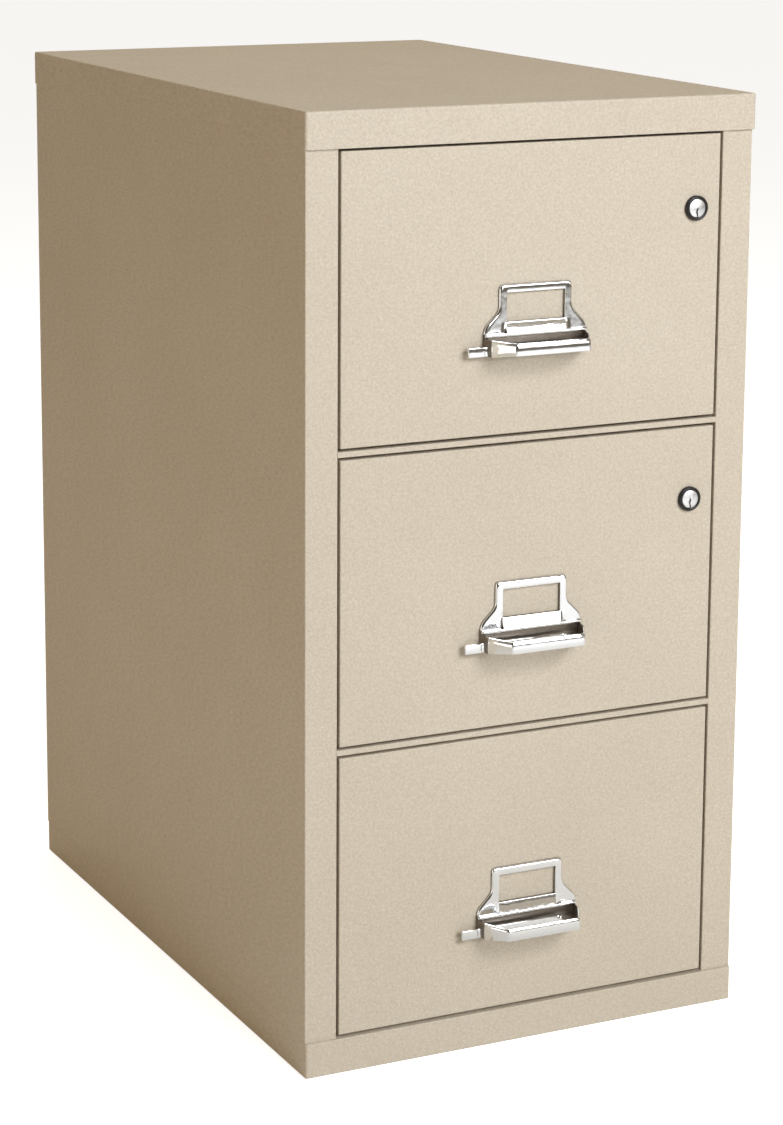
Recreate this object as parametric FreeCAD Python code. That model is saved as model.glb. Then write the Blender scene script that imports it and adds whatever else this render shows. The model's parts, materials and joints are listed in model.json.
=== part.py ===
import FreeCAD, Part
import math
import os

# Insulated three-drawer filing cabinet, millimetres, +Z up.
# The origin is on the floor, under the middle of the top cap. The drawers face -Y, and +X is to the
# right of someone who stands in front of them. Names that end in _Y are distances from the origin;
# depths inside a drawer head or handle are counted from FRONT_Y, the plane of the drawer faces.

# ---- driving dimensions -------------------------------------------------------------------------
OVERALL_WIDTH = 528.6
OVERALL_DEPTH = 801.6
OVERALL_HEIGHT = 1022.35

CAP_HEIGHT = 38.6
CAP_SIDE_OVERHANG = 1.6
CAP_FRONT_OVERHANG = 3.7
BASE_HEIGHT = 38.2
BASE_PROJECTION = 3.0

OUTER_SHEET = 1.5
INNER_SHEET = 1.2
LINER_SHEET = 0.8
SHEET_FIT = 0.3
EDGE_CORNER = 3.0

DRAWER_COUNT = 3
DRAWER_GAP = 3.0
RAIL_HEIGHT = 6.1
STILE_WIDTH = 36.6

PAN_DEPTH = 26.0
PAN_EDGE_ROUND = 1.2
HEAD_DEPTH = 62.0
HEAD_CLEARANCE = 2.5
PLUG_SIDE_GAP = 3.0
PLUG_TOP_GAP = 3.1

CAVITY_HALF_WIDTH = 212.0
CAVITY_HALF_HEIGHT = 143.6
BACK_INSULATION = 46.0
FLANGE_SPLIT = 0.4

SLIDE_HEIGHT = 46.0
SLIDE_DEPTH = 10.5
SLIDE_LENGTH = 676.0
SLIDE_DROP = 70.0
SLIDE_SETBACK = 4.0
SLIDE_SHEET = 1.6
RAIL_SHEET = 1.4
RAIL_SPAN = (3.0, 9.5)
RAIL_INSET = 5.0
DRAWER_SLIDE_START = 5.5
DRAWER_SLIDE_INSET = 10.0

TRAY_HALF_WIDTH = 199.3
TRAY_DROP = 136.0
TRAY_WALL = 236.0
TRAY_BACK_WALL = 205.0
TRAY_END_GAP = 13.0
TRAY_LIP = 7.0
TRACK_HALF = 3.8
TRACK_FRONT_GAP = 40.0
TRACK_BACK_GAP = 12.0

FOLLOWER_Y = 262.0
FOLLOWER_HALF = 190.0
FOLLOWER_HEIGHT = 200.0
FOLLOWER_SHEET = 1.5
FOLLOWER_SLACK = 0.4
FOLLOWER_CORNER = 18.0
FOLLOWER_RIM = 12.0
FOOT_HALF = 45.0
FOOT_LENGTH = 58.0
FOOT_HEIGHT = 2.5
NECK_SPAN = (4.0, 54.0)
KEEPER_HALF = 13.0
RIB_HALF = 1.0
RIB_SPAN = (1.0, 50.0)
RIB_RISE = (2.0, 120.0)

HANDLE_RISE = 6.3
PLATE_HALF_TOP = 42.8
PLATE_HALF_BOTTOM = 60.6
PLATE_THICKNESS = 4.0
PLATE_HEIGHT = 54.0
PLATE_CORNER = 4.0
PLATE_EDGE_ROUND = 0.9
FLARE_DROP = 21.5
FLARE_HOLLOW_RADIUS = 14.0
FLARE_ROUND_RADIUS = 16.0
WINDOW_WIDTH = 68.6
WINDOW_HEIGHT = 30.6
WINDOW_DROP = 8.6
LIP_HEIGHT = 2.6
LIP_DEPTH = 7.0
LIP_ROUND = 1.1
BACK_PLATE = 2.0
CHEEK_DEPTH = 4.0
GRIP_DEPTH = 43.6
GRIP_HALF_FRONT = 43.6
GRIP_STRAIGHT = 16.0
GRIP_DRAW_IN = 2.0
GRIP_CORNER = 4.4
GRIP_WALL = 2.6
GRIP_TOP = 55.7
GRIP_FRONT_BOTTOM = 69.0
GRIP_REAR_BOTTOM = 73.3
NOTCH_DEPTHS = (5.6, 10.4)
NOTCH_LENGTH = 6.0
NOTCH_TOP = 62.3
NOTCH_LOW = 74.3

HANDLE_SCREW_X = 51.0
HANDLE_SCREW_DROP = 47.0
SCREW_RADIUS = 1.6
SCREW_HOLE_RADIUS = 2.2
SCREW_HEAD_RADIUS = 3.8
SCREW_HEAD_HEIGHT = 2.6
SCREW_REACH = 2.4
SCREW_POCKET_RADIUS = 5.0
SCREW_POCKET_DEPTH = 6.0

LATCH_TRAVEL = 9.0
LATCH_DROP = 68.0
LATCH_SLOT_HALF = 3.6
THUMB_BAR = (-9.6, -6.4)
THUMB_BAR_X = (-66.0, 41.0)
THUMB_BAR_HALF = 5.0
THUMB_TAB_X = (-82.0, -62.5)
THUMB_TAB_HALF = 5.4
THUMB_TAB_PROUD = 0.6
THUMB_TAB_ROUND = 1.0
STUD_RADIUS = 3.0
STUD_FIT = 0.05
CATCH_CLEARANCE = 0.5
CATCH_BAR = (10.0, 14.0)
CATCH_HALF = 7.0
CATCH_END_X = 8.0
CATCH_BEVEL = (4.0, 1.4)
CATCH_WINDOW = (9.0, 15.0)
CATCH_WINDOW_HALF = 8.0
CATCH_SLOT_HALF = 8.5
LATCH_CHANNEL_DEPTH = 17.0
LATCH_CHANNEL_HALF = 9.0
SPRING_STOP_X = 44.0
SPRING_WIRE_RADIUS = 0.5
SPRING_COIL_RADIUS = 3.6
SPRING_TURNS = 8
SPRING_END_MARGIN = 1.2

LOCK_X = 193.8
LOCK_RISE = 73.95
LOCKED_DRAWERS = (1, 2)
BEZEL_RADIUS = 13.5
BEZEL_PROUD = 4.4
BEZEL_ROUND = 1.0
BARREL_RADIUS = 11.8
BARREL_DEPTH = 13.0
BARREL_HOLE_FIT = 0.2
PLUG_RADIUS = 9.75
PLUG_PROUD = 4.0
PLUG_DEPTH = 13.4
PLUG_FIT = 0.05
TAIL_RADIUS = 5.0
TAIL_DEPTH = 21.0
CAM_RADIUS = 8.0
CAM_DEPTHS = (20.5, 22.5)
KEYWAY_HALF = 1.0
KEYWAY_DEPTH = 9.0
KEYWAY_TOP = 0.8
BOLT_TRAVEL = 10.0
BOLT_DEPTH = (15.0, 20.0)
BOLT_HALF = 13.0
BOLT_END = 5.0
BOLT_SHOULDER_X = 210.0
BOLT_NOSE_X = 222.5
BOLT_NOSE_HALF = 8.0
BOLT_SLACK = 0.6
BOLT_WINDOW = (14.0, 21.0)
BOLT_WINDOW_HALF = 8.8
BOLT_SLOT_HALF = 9.5
LOCK_POCKET_REACH = 26.0
LOCK_POCKET_DEPTH = 24.5
LOCK_POCKET_HALF = 15.0
JAMB_SLOT_HALF = 4.0

# ---- sizes worked out from them -----------------------------------------------------------------
BODY_HALF = OVERALL_WIDTH / 2 - CAP_SIDE_OVERHANG
CAP_HALF = OVERALL_WIDTH / 2
CAP_FRONT_Y = -OVERALL_DEPTH / 2
FRONT_Y = CAP_FRONT_Y + CAP_FRONT_OVERHANG
CAP_BACK_Y = OVERALL_DEPTH / 2
BACK_Y = CAP_BACK_Y - CAP_SIDE_OVERHANG
BASE_FRONT_Y = FRONT_Y - BASE_PROJECTION

CAP_BOTTOM = OVERALL_HEIGHT - CAP_HEIGHT
SHELL_TOP = OVERALL_HEIGHT - OUTER_SHEET - SHEET_FIT
OPENING = CAP_BOTTOM - BASE_HEIGHT
DRAWER_HEIGHT = (OPENING - 2 * DRAWER_COUNT * DRAWER_GAP - (DRAWER_COUNT - 1) * RAIL_HEIGHT) / DRAWER_COUNT
DRAWER_PITCH = DRAWER_HEIGHT + 2 * DRAWER_GAP + RAIL_HEIGHT

JAMB = BODY_HALF - STILE_WIDTH
PAN_HALF = JAMB - DRAWER_GAP
JAMB_DEPTH = PAN_DEPTH + HEAD_CLEARANCE
PLUG_HALF_WIDTH = CAVITY_HALF_WIDTH - PLUG_SIDE_GAP
PLUG_HALF_HEIGHT = CAVITY_HALF_HEIGHT - PLUG_TOP_GAP
STEP_Y = FRONT_Y + JAMB_DEPTH
HEAD_BACK_Y = FRONT_Y + HEAD_DEPTH
SLAB_FRONT_Y = STEP_Y + LINER_SHEET
SLAB_INNER = CAVITY_HALF_WIDTH + LINER_SHEET
SLAB_OUTER = BODY_HALF - OUTER_SHEET
SLAB_BACK_Y = BACK_Y - OUTER_SHEET
LINER_BACK_Y = SLAB_BACK_Y - BACK_INSULATION
TRAY_BACK_Y = LINER_BACK_Y - LINER_SHEET - TRAY_END_GAP
SLIDE_FRONT_Y = HEAD_BACK_Y + SLIDE_SETBACK
SLIDE_BACK_Y = SLIDE_FRONT_Y + SLIDE_LENGTH
FLANGE_HALF_HEIGHT = DRAWER_PITCH / 2 - FLANGE_SPLIT
TRACK_FRONT_Y = HEAD_BACK_Y + TRACK_FRONT_GAP
TRACK_BACK_Y = TRAY_BACK_Y - TRACK_BACK_GAP
CATCH_TIP_X = -(JAMB - CATCH_CLEARANCE)

# ---- working allowances -------------------------------------------------------------------------
OVERCUT = 1.0
NEAR = 0.1
STRAIGHT = 1e-6

os.makedirs("parts", exist_ok=True)


# ---- helpers ------------------------------------------------------------------------------------
def vec(x, y, z):
    return FreeCAD.Vector(x, y, z)


def box(x0, x1, y0, y1, z0, z1):
    return Part.makeBox(x1 - x0, y1 - y0, z1 - z0, vec(x0, y0, z0))


def rod_y(x, z, radius, y0, y1):
    """A round bar along Y."""
    return Part.makeCylinder(radius, y1 - y0, vec(x, y0, z), vec(0, 1, 0))


def straight_edges(shape, axis, *limits):
    """The straight edges along an axis (0, 1 or 2) whose middles lie within each (axis, low, high)."""
    found = []
    for edge in shape.Edges:
        ends = [vertex.Point for vertex in edge.Vertexes]
        if len(ends) != 2 or not isinstance(edge.Curve, Part.Line):
            continue
        run = ends[1] - ends[0]
        if abs(abs(run[axis]) - run.Length) > STRAIGHT:
            continue
        middle = (ends[0] + ends[1]) * 0.5
        if all(low <= middle[a] <= high for a, low, high in limits):
            found.append(edge)
    return found


def near(axis, place):
    """A limit for straight_edges: close to a place along an axis."""
    return (axis, place - NEAR, place + NEAR)


def rounded_slab(x0, x1, y0, y1, z0, z1, radius):
    """A box whose four vertical edges are round."""
    slab = box(x0, x1, y0, y1, z0, z1)
    return slab.makeFillet(radius, straight_edges(slab, 2))


def mirrored(shape):
    """The same shape on the other side of the cabinet's middle plane."""
    return shape.mirror(vec(0, 0, 0), vec(1, 0, 0))


def group(shapes):
    """Separate solids of one node."""
    return Part.makeCompound([solid for shape in shapes for solid in shape.Solids])


def extrude_outline(edges, run):
    """A solid from one closed outline of lines and arcs, pushed along a vector."""
    return Part.Face(Part.Wire(Part.__sortEdges__(edges))).extrude(run)


def polygon_edges(points):
    closed = points + points[:1]
    return [Part.LineSegment(a, b).toShape() for a, b in zip(closed, closed[1:])]


def save(name, shape):
    clean = shape.removeSplitter()
    if not clean.isValid():
        raise RuntimeError(name + " is not a valid shape")
    clean.exportStep("parts/" + name + ".step")


def drawer_centre(k):
    """Height of the middle of drawer front k, where drawer 1 is the top one."""
    return CAP_BOTTOM - DRAWER_GAP - DRAWER_HEIGHT / 2 - (k - 1) * DRAWER_PITCH


def head_y(depth):
    """Y at a depth behind the drawer faces; a negative depth is in front of them."""
    return FRONT_Y + depth


# ---- cabinet shell ------------------------------------------------------------------------------
def top_cap():
    edge_radius = 2.2
    outer = rounded_slab(-CAP_HALF, CAP_HALF, CAP_FRONT_Y, CAP_BACK_Y, CAP_BOTTOM, OVERALL_HEIGHT,
                         EDGE_CORNER)
    rim = [edge for edge in outer.Edges if min(v.Point.z for v in edge.Vertexes) > OVERALL_HEIGHT - NEAR]
    outer = outer.makeFillet(edge_radius, rim)
    inner = box(-CAP_HALF + OUTER_SHEET, CAP_HALF - OUTER_SHEET,
                CAP_FRONT_Y + OUTER_SHEET, CAP_BACK_Y - OUTER_SHEET,
                CAP_BOTTOM - OVERCUT, OVERALL_HEIGHT - OUTER_SHEET)
    return outer.cut(inner)


def base_pan():
    """The plinth: a closed floor, four walls, and a narrow flange turned in on top."""
    flange = 12.0
    edge_radius = 0.8
    outer = rounded_slab(-BODY_HALF, BODY_HALF, BASE_FRONT_Y, BACK_Y, 0, BASE_HEIGHT, EDGE_CORNER)
    outer = outer.makeFillet(edge_radius, straight_edges(outer, 0, near(1, BASE_FRONT_Y)))
    hollow = rounded_slab(-BODY_HALF + OUTER_SHEET, BODY_HALF - OUTER_SHEET,
                          BASE_FRONT_Y + OUTER_SHEET, BACK_Y - OUTER_SHEET,
                          OUTER_SHEET, BASE_HEIGHT - OUTER_SHEET, EDGE_CORNER - OUTER_SHEET)
    mouth = box(-BODY_HALF + flange, BODY_HALF - flange, BASE_FRONT_Y + flange, BACK_Y - flange,
                BASE_HEIGHT / 2, BASE_HEIGHT + OVERCUT)
    return outer.cut(hollow).cut(mouth)


def right_side_panel():
    """One bent sheet: the side, the front stile and the door jamb."""
    outer_bend = 1.4
    inner_bend = 1.1
    web = box(BODY_HALF - OUTER_SHEET, BODY_HALF, FRONT_Y, BACK_Y - OUTER_SHEET, BASE_HEIGHT, SHELL_TOP)
    stile = box(JAMB, BODY_HALF, FRONT_Y, FRONT_Y + OUTER_SHEET, BASE_HEIGHT, SHELL_TOP)
    jamb = box(JAMB, JAMB + OUTER_SHEET, FRONT_Y, STEP_Y, BASE_HEIGHT, SHELL_TOP)
    panel = web.fuse([stile, jamb]).removeSplitter()
    at_front = near(1, FRONT_Y)
    panel = panel.makeFillet(outer_bend, straight_edges(panel, 2, at_front, near(0, BODY_HALF)))
    return panel.makeFillet(inner_bend, straight_edges(panel, 2, at_front, near(0, JAMB)))


def jamb_slot(z, depth, half_height):
    """A cutter for the slot in the right jamb that takes a bolt or catch at a depth in the head."""
    return box(JAMB - OVERCUT, JAMB + OUTER_SHEET + OVERCUT,
               head_y(depth - JAMB_SLOT_HALF), head_y(depth + JAMB_SLOT_HALF),
               z - half_height, z + half_height)


def back_panel():
    return box(-BODY_HALF, BODY_HALF, BACK_Y - OUTER_SHEET, BACK_Y, BASE_HEIGHT, SHELL_TOP)


def header_rail():
    """The channel above the top drawer, behind the cap's front flange."""
    face = box(-JAMB, JAMB, FRONT_Y, FRONT_Y + OUTER_SHEET, CAP_BOTTOM, SHELL_TOP)
    sill = box(-JAMB, JAMB, FRONT_Y, STEP_Y, CAP_BOTTOM, CAP_BOTTOM + OUTER_SHEET)
    return face.fuse(sill)


def divider_rails():
    """The thin strips between the drawer fronts: channels with their open side to the back."""
    edge_radius = 0.8
    rails = []
    for k in range(1, DRAWER_COUNT):
        middle = drawer_centre(k) - DRAWER_PITCH / 2
        low = middle - RAIL_HEIGHT / 2
        high = middle + RAIL_HEIGHT / 2
        bar = box(-JAMB, JAMB, FRONT_Y, STEP_Y, low, high)
        bar = bar.makeFillet(edge_radius, straight_edges(bar, 0, near(1, FRONT_Y)))
        hollow = box(-JAMB, JAMB, FRONT_Y + INNER_SHEET, STEP_Y, low + INNER_SHEET, high - INNER_SHEET)
        rails.append(bar.cut(hollow))
    return group(rails)


# ---- insulation and liners ----------------------------------------------------------------------
def side_insulation_right(pocket_heights):
    """The cast side wall, and filler strips in the stile that leave a pocket at each bolt."""
    pocket_half = 15.0
    bottoms = [BASE_HEIGHT] + [z + pocket_half for z in sorted(pocket_heights)]
    tops = [z - pocket_half for z in sorted(pocket_heights)] + [SHELL_TOP]
    pieces = [box(SLAB_INNER, SLAB_OUTER, SLAB_FRONT_Y, SLAB_BACK_Y, BASE_HEIGHT, SHELL_TOP)]
    for low, high in zip(bottoms, tops):
        pieces.append(box(JAMB + OUTER_SHEET, SLAB_OUTER, FRONT_Y + OUTER_SHEET, SLAB_FRONT_Y, low, high))
    return group(pieces)


def back_insulation():
    return box(-SLAB_INNER, SLAB_INNER, LINER_BACK_Y, SLAB_BACK_Y, BASE_HEIGHT, SHELL_TOP)


def top_insulation():
    filler_gap = 1.8
    low = drawer_centre(1) + CAVITY_HALF_HEIGHT + LINER_SHEET
    slab = box(-SLAB_INNER, SLAB_INNER, SLAB_FRONT_Y, LINER_BACK_Y, low, SHELL_TOP)
    filler = box(-JAMB, JAMB, FRONT_Y + OUTER_SHEET, SLAB_FRONT_Y - LINER_SHEET,
                 CAP_BOTTOM + OUTER_SHEET + filler_gap, SHELL_TOP)
    return group([slab, filler])


def bottom_insulation():
    margin = 13.0
    high = drawer_centre(DRAWER_COUNT) - CAVITY_HALF_HEIGHT - LINER_SHEET
    lower = box(-BODY_HALF + margin, BODY_HALF - margin, SLAB_FRONT_Y, BACK_Y - margin,
                OUTER_SHEET, BASE_HEIGHT)
    upper = box(-SLAB_INNER, SLAB_INNER, SLAB_FRONT_Y, LINER_BACK_Y, BASE_HEIGHT, high)
    return lower.fuse(upper)


def divider_insulation():
    slabs = []
    half = DRAWER_PITCH / 2 - CAVITY_HALF_HEIGHT - LINER_SHEET
    for k in range(1, DRAWER_COUNT):
        middle = drawer_centre(k) - DRAWER_PITCH / 2
        slabs.append(box(-SLAB_INNER, SLAB_INNER, SLAB_FRONT_Y, LINER_BACK_Y, middle - half, middle + half))
    return group(slabs)


def compartment_liner(k):
    """A thin box round one drawer's space, open to the front, with a flange out to the jambs."""
    z = drawer_centre(k)
    half_w = CAVITY_HALF_WIDTH
    half_h = CAVITY_HALF_HEIGHT
    skin = LINER_SHEET
    outer = box(-half_w - skin, half_w + skin, STEP_Y, LINER_BACK_Y, z - half_h - skin, z + half_h + skin)
    flange = box(-JAMB, JAMB, STEP_Y, STEP_Y + skin, z - FLANGE_HALF_HEIGHT, z + FLANGE_HALF_HEIGHT)
    hollow = box(-half_w, half_w, STEP_Y - OVERCUT, LINER_BACK_Y - skin, z - half_h, z + half_h)
    return outer.fuse(flange).cut(hollow)


# ---- drawer slides ------------------------------------------------------------------------------
def channel(x0, x1, z, height, sheet, web_low_x):
    """A C-section along Y: its web is at x0 or at x1, and its flanges reach the other side."""
    bar = box(x0, x1, SLIDE_FRONT_Y, SLIDE_BACK_Y, z - height / 2, z + height / 2)
    hollow_x0 = x0 + sheet if web_low_x else x0 - OVERCUT
    hollow_x1 = x1 + OVERCUT if web_low_x else x1 - sheet
    hollow = box(hollow_x0, hollow_x1, SLIDE_FRONT_Y, SLIDE_BACK_Y,
                 z - height / 2 + sheet, z + height / 2 - sheet)
    return bar.cut(hollow)


def cabinet_slides():
    """The members on the liners' side walls, left and right of each drawer."""
    members = []
    for k in range(1, DRAWER_COUNT + 1):
        z = drawer_centre(k) - SLIDE_DROP
        left = channel(-CAVITY_HALF_WIDTH, -CAVITY_HALF_WIDTH + SLIDE_DEPTH, z, SLIDE_HEIGHT,
                       SLIDE_SHEET, True)
        members += [left, mirrored(left)]
    return group(members)


def slide_rails(k):
    """The intermediate members, which move half as far as the drawer."""
    z = drawer_centre(k) - SLIDE_DROP
    near_x, far_x = (-CAVITY_HALF_WIDTH + reach for reach in RAIL_SPAN)
    left = channel(near_x, far_x, z, SLIDE_HEIGHT - 2 * RAIL_INSET, RAIL_SHEET, True)
    return group([left, mirrored(left)])


def drawer_slides(k):
    """The members on the tray's sides, inside the intermediate ones."""
    z = drawer_centre(k) - SLIDE_DROP
    left = channel(-CAVITY_HALF_WIDTH + DRAWER_SLIDE_START, -TRAY_HALF_WIDTH, z,
                   SLIDE_HEIGHT - 2 * DRAWER_SLIDE_INSET, SLIDE_SHEET, False)
    return group([left, mirrored(left)])


# ---- drawer -------------------------------------------------------------------------------------
def plate_z(k, drop):
    """Height at a distance below the top of the handle's plate."""
    return drawer_centre(k) + HANDLE_RISE - drop


def latch_slot(k, y0, y1):
    """The slot that the latch's stud runs in."""
    z = plate_z(k, LATCH_DROP)
    half = LATCH_SLOT_HALF
    ends = [rod_y(x, z, half, y0, y1) for x in (0, LATCH_TRAVEL)]
    return ends[0].fuse([ends[1], box(0, LATCH_TRAVEL, y0, y1, z - half, z + half)])


def handle_screw_places(k):
    return [(side * HANDLE_SCREW_X, plate_z(k, HANDLE_SCREW_DROP)) for side in (-1, 1)]


def front_pan(k):
    """The drawer's painted face: a shallow steel pan with its open side to the back."""
    z = drawer_centre(k)
    half = DRAWER_HEIGHT / 2
    outer = box(-PAN_HALF, PAN_HALF, FRONT_Y, head_y(PAN_DEPTH), z - half, z + half)
    at_front = near(1, FRONT_Y)
    rim = straight_edges(outer, 0, at_front) + straight_edges(outer, 2, at_front)
    outer = outer.makeFillet(PAN_EDGE_ROUND, rim)
    hollow = box(-PAN_HALF + OUTER_SHEET, PAN_HALF - OUTER_SHEET, FRONT_Y + OUTER_SHEET,
                 head_y(PAN_DEPTH) + OVERCUT, z - half + OUTER_SHEET, z + half - OUTER_SHEET)
    pan = outer.cut(hollow)
    before = FRONT_Y - OVERCUT
    behind = FRONT_Y + OUTER_SHEET + OVERCUT
    pan = pan.cut(latch_slot(k, before, behind))
    for x, screw_z in handle_screw_places(k):
        pan = pan.cut(rod_y(x, screw_z, SCREW_HOLE_RADIUS, before, behind))
    wall = OUTER_SHEET + OVERCUT
    catch_z = plate_z(k, LATCH_DROP)
    pan = pan.cut(box(-PAN_HALF - OVERCUT, -PAN_HALF + wall, head_y(CATCH_WINDOW[0]), head_y(CATCH_WINDOW[1]),
                      catch_z - CATCH_WINDOW_HALF, catch_z + CATCH_WINDOW_HALF))
    if k in LOCKED_DRAWERS:
        lock_z = lock_centre(k)
        pan = pan.cut(rod_y(LOCK_X, lock_z, BARREL_RADIUS + BARREL_HOLE_FIT, before, behind))
        pan = pan.cut(box(PAN_HALF - wall, PAN_HALF + OVERCUT, head_y(BOLT_WINDOW[0]), head_y(BOLT_WINDOW[1]),
                          lock_z - BOLT_WINDOW_HALF, lock_z + BOLT_WINDOW_HALF))
    return pan


def front_insulation(k):
    """The cast block in the head, with a channel for the latch and a pocket for the lock."""
    z = drawer_centre(k)
    wide_half = DRAWER_HEIGHT / 2 - OUTER_SHEET
    wide = box(-PAN_HALF + OUTER_SHEET, PAN_HALF - OUTER_SHEET, FRONT_Y + OUTER_SHEET, head_y(PAN_DEPTH),
               z - wide_half, z + wide_half)
    plug = box(-PLUG_HALF_WIDTH + INNER_SHEET, PLUG_HALF_WIDTH - INNER_SHEET, head_y(PAN_DEPTH) - OVERCUT,
               HEAD_BACK_Y - INNER_SHEET,
               z - PLUG_HALF_HEIGHT + INNER_SHEET, z + PLUG_HALF_HEIGHT - INNER_SHEET)
    block = wide.fuse(plug).removeSplitter()
    latch_z = plate_z(k, LATCH_DROP)
    block = block.cut(box(-PAN_HALF, SPRING_STOP_X, FRONT_Y, head_y(LATCH_CHANNEL_DEPTH),
                          latch_z - LATCH_CHANNEL_HALF, latch_z + LATCH_CHANNEL_HALF))
    for x, screw_z in handle_screw_places(k):
        block = block.cut(rod_y(x, screw_z, SCREW_POCKET_RADIUS, FRONT_Y, head_y(SCREW_POCKET_DEPTH)))
    if k in LOCKED_DRAWERS:
        lock_z = lock_centre(k)
        block = block.cut(box(LOCK_X - LOCK_POCKET_REACH, PAN_HALF, FRONT_Y, head_y(LOCK_POCKET_DEPTH),
                              lock_z - LOCK_POCKET_HALF, lock_z + LOCK_POCKET_HALF))
    return block


def inner_front(k):
    """The steel cover on the plug, with a flange that closes the pan."""
    z = drawer_centre(k)
    flange_half = DRAWER_HEIGHT / 2
    plug = box(-PLUG_HALF_WIDTH, PLUG_HALF_WIDTH, head_y(PAN_DEPTH), HEAD_BACK_Y,
               z - PLUG_HALF_HEIGHT, z + PLUG_HALF_HEIGHT)
    flange = box(-PAN_HALF, PAN_HALF, head_y(PAN_DEPTH), head_y(PAN_DEPTH) + INNER_SHEET,
                 z - flange_half, z + flange_half)
    hollow = box(-PLUG_HALF_WIDTH + INNER_SHEET, PLUG_HALF_WIDTH - INNER_SHEET, head_y(PAN_DEPTH) - OVERCUT,
                 HEAD_BACK_Y - INNER_SHEET,
                 z - PLUG_HALF_HEIGHT + INNER_SHEET, z + PLUG_HALF_HEIGHT - INNER_SHEET)
    return plug.fuse(flange).cut(hollow)


def tray(k):
    """Floor, two high sides with a lip turned in, and a lower back, with the follower's track."""
    low = drawer_centre(k) - TRAY_DROP
    skin = INNER_SHEET
    half = TRAY_HALF_WIDTH
    floor = box(-half, half, HEAD_BACK_Y, TRAY_BACK_Y, low, low + skin)
    side = box(-half, -half + skin, HEAD_BACK_Y, TRAY_BACK_Y, low, low + TRAY_WALL)
    edge = box(-half, -half + TRAY_LIP, HEAD_BACK_Y, TRAY_BACK_Y, low + TRAY_WALL - skin, low + TRAY_WALL)
    back = box(-half, half, TRAY_BACK_Y - skin, TRAY_BACK_Y, low, low + TRAY_BACK_WALL)
    body = floor.fuse([side, edge, mirrored(side), mirrored(edge), back]).removeSplitter()
    track = box(-TRACK_HALF, TRACK_HALF, TRACK_FRONT_Y, TRACK_BACK_Y, low - OVERCUT, low + skin + OVERCUT)
    return body.cut(track)


def follower(k):
    """The file compressor: an upright plate on a foot that is held in the tray's track."""
    floor = drawer_centre(k) - TRAY_DROP + INNER_SHEET
    under = floor - INNER_SHEET - FOLLOWER_SLACK
    low = floor + FOLLOWER_SLACK
    top = floor + FOLLOWER_HEIGHT
    plate = box(-FOLLOWER_HALF, FOLLOWER_HALF, FOLLOWER_Y, FOLLOWER_Y + FOLLOWER_SHEET, low, top)
    plate = plate.makeFillet(FOLLOWER_CORNER, straight_edges(plate, 1, near(2, top)))
    rim = box(-FOLLOWER_HALF, FOLLOWER_HALF, FOLLOWER_Y, FOLLOWER_Y + FOLLOWER_RIM, low, low + FOLLOWER_SHEET)
    foot = box(-FOOT_HALF, FOOT_HALF, FOLLOWER_Y, FOLLOWER_Y + FOOT_LENGTH, low, low + FOOT_HEIGHT)
    neck_start, neck_end = (FOLLOWER_Y + reach for reach in NECK_SPAN)
    neck_half = TRACK_HALF - FOLLOWER_SLACK
    neck = box(-neck_half, neck_half, neck_start, neck_end, under - OVERCUT, low + OVERCUT)
    keeper = box(-KEEPER_HALF, KEEPER_HALF, neck_start, neck_end, under - 2 * OVERCUT, under)
    rib_start, rib_end = (FOLLOWER_Y + reach for reach in RIB_SPAN)
    rib_low, rib_top = (floor + rise for rise in RIB_RISE)
    rib_points = [vec(-RIB_HALF, rib_start, rib_low), vec(-RIB_HALF, rib_end, rib_low),
                  vec(-RIB_HALF, rib_start, rib_top)]
    rib = extrude_outline(polygon_edges(rib_points), vec(2 * RIB_HALF, 0, 0))
    return plate.fuse([rim, foot, neck, keeper, rib])


# ---- handle and latch ---------------------------------------------------------------------------
def plate_outline(z_top, y):
    """Round shoulders, straight sides, then a hollow flare that widens to the bottom."""
    half = PLATE_HALF_TOP
    wide = PLATE_HALF_BOTTOM
    corner = PLATE_CORNER
    turn = math.radians(45)
    hollow_out = FLARE_HOLLOW_RADIUS * (1 - math.cos(turn))
    hollow_down = FLARE_HOLLOW_RADIUS * math.sin(turn)
    round_out = FLARE_ROUND_RADIUS * (1 - math.cos(turn))
    round_down = FLARE_ROUND_RADIUS * math.sin(turn)
    slope = wide - half - hollow_out - round_out
    corner_mid = corner * (1 - math.cos(turn))

    def at(side, x, drop):
        return vec(side * x, y, z_top - drop)

    edges = [Part.LineSegment(at(-1, half - corner, 0), at(1, half - corner, 0)).toShape()]
    for side in (-1, 1):
        a = at(side, half - corner, 0)
        b = at(side, half, corner)
        c = at(side, half, FLARE_DROP)
        d = at(side, half + hollow_out, FLARE_DROP + hollow_down)
        e = at(side, half + hollow_out + slope, FLARE_DROP + hollow_down + slope)
        f_drop = FLARE_DROP + hollow_down + slope + round_down
        f = at(side, wide, f_drop)
        g = at(side, wide, PLATE_HEIGHT)
        half_turn = turn / 2
        hollow_mid = at(side, half + FLARE_HOLLOW_RADIUS * (1 - math.cos(half_turn)),
                        FLARE_DROP + FLARE_HOLLOW_RADIUS * math.sin(half_turn))
        round_mid = at(side, wide - FLARE_ROUND_RADIUS * (1 - math.cos(half_turn)),
                       f_drop - FLARE_ROUND_RADIUS * math.sin(half_turn))
        edges.append(Part.Arc(a, at(side, half - corner_mid, corner_mid), b).toShape())
        edges.append(Part.LineSegment(b, c).toShape())
        edges.append(Part.Arc(c, hollow_mid, d).toShape())
        edges.append(Part.LineSegment(d, e).toShape())
        edges.append(Part.Arc(e, round_mid, f).toShape())
        edges.append(Part.LineSegment(f, g).toShape())
    edges.append(Part.LineSegment(at(-1, wide, PLATE_HEIGHT), at(1, wide, PLATE_HEIGHT)).toShape())
    return edges


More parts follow.
